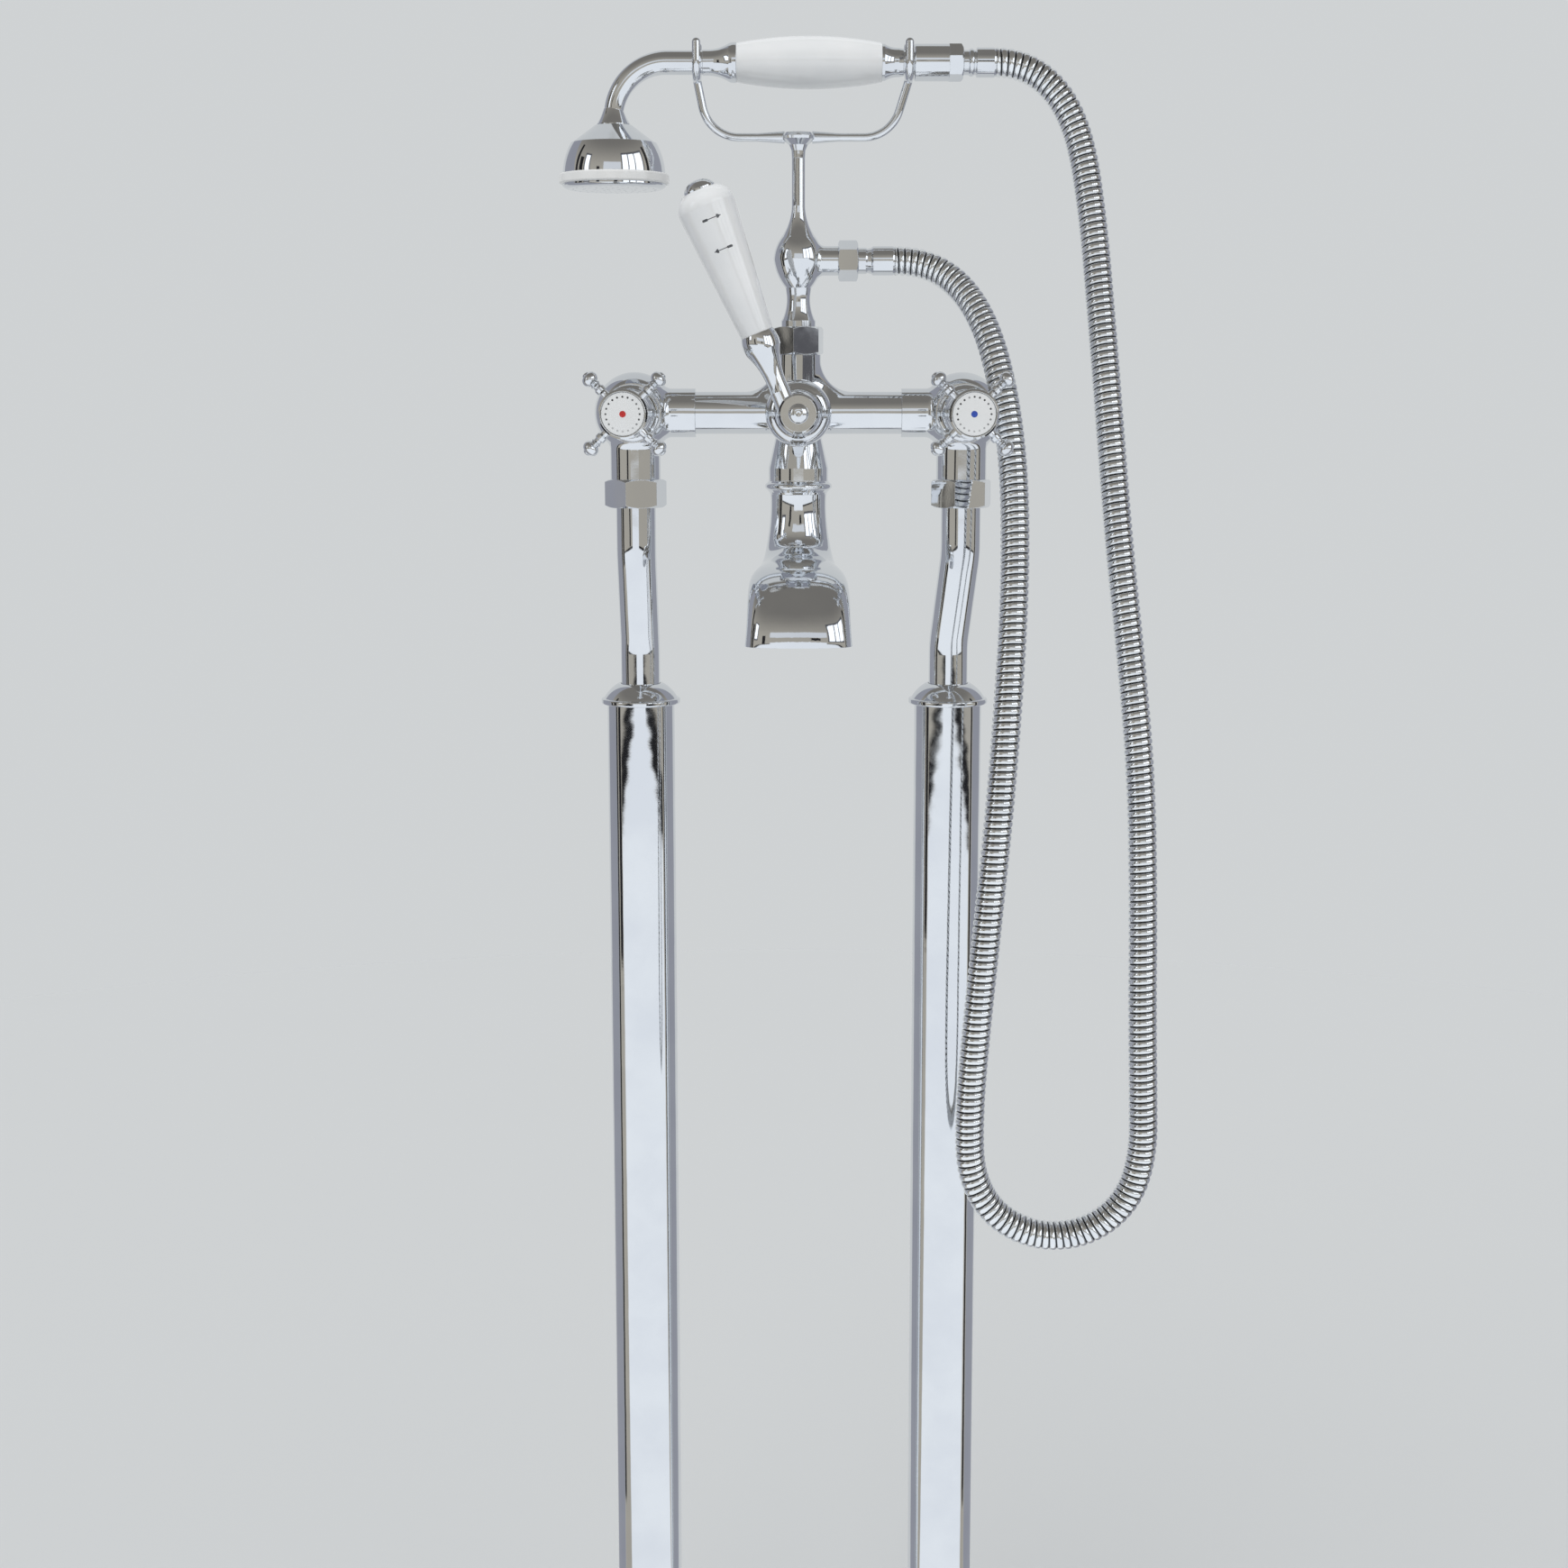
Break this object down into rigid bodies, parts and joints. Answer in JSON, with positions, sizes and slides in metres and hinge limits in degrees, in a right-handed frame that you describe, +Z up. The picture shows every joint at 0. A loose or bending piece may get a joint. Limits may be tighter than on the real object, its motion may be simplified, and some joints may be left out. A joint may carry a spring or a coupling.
{
  "type": "bath filler tap",
  "caption": "Floor-standing bath mixer tap on standpipes with cross-head valves, diverter lever, fan spout and a hand shower on a cradle with its hose.",
  "frame": {"origin": "on the floor, midway between the centres of the two standpipes' feet", "axes": "+Z up, +X towards the cold standpipe (right as seen by the user), -Y towards the bath and the user"},
  "size_m": [0.327, 0.1668, 1.0304],
  "materials": {
    "polished_chrome": "bright chrome plate on brass, polished",
    "rod_chrome": "bright chrome plate on bent rod",
    "hose_chrome": "bright chrome plated hose of wound metal strip",
    "glazed_ceramic": "white porcelain with a clear gloss glaze, opaque",
    "hot_index": "white porcelain index with a dotted ring and a small red dot, opaque",
    "cold_index": "white porcelain index with a dotted ring and a small blue dot, opaque",
    "rose_rim": "white glossy rim round the spray plate",
    "copper_pipe": "drawn copper, dull",
    "bare_brass": "machined brass, unplated",
    "steel_screw": "plain steel screw",
    "fibre_washer": "black sealing washer, matte",
    "white_plastic": "moulded plastic cartridge"
  },
  "bodies": {
    "root": {"floor_flange_hot": "polished_chrome", "inlet_fitting_hot": "bare_brass", "supply_pipe_hot": "copper_pipe", "pipe_coupling_hot": "copper_pipe", "pipe_shroud_hot": "polished_chrome", "shroud_collar_hot": "polished_chrome", "cranked_pipe_hot": "polished_chrome", "union_nut_hot": "polished_chrome", "valve_body_hot": "polished_chrome", "valve_cartridge_hot": "bare_brass", "valve_bonnet_hot": "polished_chrome", "floor_flange_cold": "polished_chrome", "inlet_fitting_cold": "bare_brass", "supply_pipe_cold": "copper_pipe", "pipe_coupling_cold": "copper_pipe", "pipe_shroud_cold": "polished_chrome", "shroud_collar_cold": "polished_chrome", "cranked_pipe_cold": "polished_chrome", "union_nut_cold": "polished_chrome", "valve_body_cold": "polished_chrome", "valve_cartridge_cold": "bare_brass", "valve_bonnet_cold": "polished_chrome", "mixer_body": "polished_chrome", "diverter_cartridge": "bare_brass", "diverter_bonnet": "polished_chrome", "spout": "polished_chrome", "spout_ring": "polished_chrome", "riser_nut": "polished_chrome", "riser_column": "polished_chrome", "outlet_nut": "polished_chrome", "hose_ferrule_outlet": "polished_chrome", "non_return_valve": "white_plastic", "sealing_washers": "fibre_washer", "cradle": "rod_chrome", "shower_hose": "hose_chrome"},
    "hot_handle": {"crosshead_hot": "polished_chrome", "index_disc_hot": "hot_index", "valve_spindle_hot": "bare_brass", "handle_screw_hot": "steel_screw"},
    "cold_handle": {"crosshead_cold": "polished_chrome", "index_disc_cold": "cold_index", "valve_spindle_cold": "bare_brass", "handle_screw_cold": "steel_screw"},
    "lever": {"diverter_spindle": "bare_brass", "lever_stem": "polished_chrome", "lever_rod": "steel_screw", "lever_grip": "glazed_ceramic", "lever_cap": "polished_chrome", "lever_screw": "polished_chrome"},
    "hose_end": {"hose_ferrule_handset": "polished_chrome"},
    "handset": {"handset_neck": "polished_chrome", "handset_ferrule_front": "polished_chrome", "handset_grip": "glazed_ceramic", "handset_ferrule_rear": "polished_chrome", "handset_core_tube": "bare_brass", "handset_hose_nut": "polished_chrome", "rose_bell": "polished_chrome", "rose_ring": "rose_rim", "rose_plate": "polished_chrome"}
  },
  "joints": [
    {"name": "hot_handle_turn", "type": "hinge", "parent": "root", "child": "hot_handle", "pos_m": [-0.0877, -0.092, 0.8306], "axis": [0, -1, 0], "range_deg": [0, 90]},
    {"name": "cold_handle_turn", "type": "hinge", "parent": "root", "child": "cold_handle", "pos_m": [0.0923, -0.092, 0.8306], "axis": [0, 1, 0], "range_deg": [0, 90]},
    {"name": "diverter_lever_turn", "type": "hinge", "parent": "root", "child": "lever", "pos_m": [0.0023, -0.065, 0.8306], "axis": [0, 1, 0], "range_deg": [0, 44]},
    {"name": "handset_lift", "type": "slide", "parent": "root", "child": "hose_end", "axis": [0, 0, 1], "range_m": [0, 0.03], "deforming": ["shower_hose"]},
    {"name": "handset_roll", "type": "hinge", "parent": "hose_end", "child": "handset", "pos_m": [0.0943, -0.013, 1.0166], "axis": [1, 0, 0], "range_deg": [-35, 35]}
  ]
}
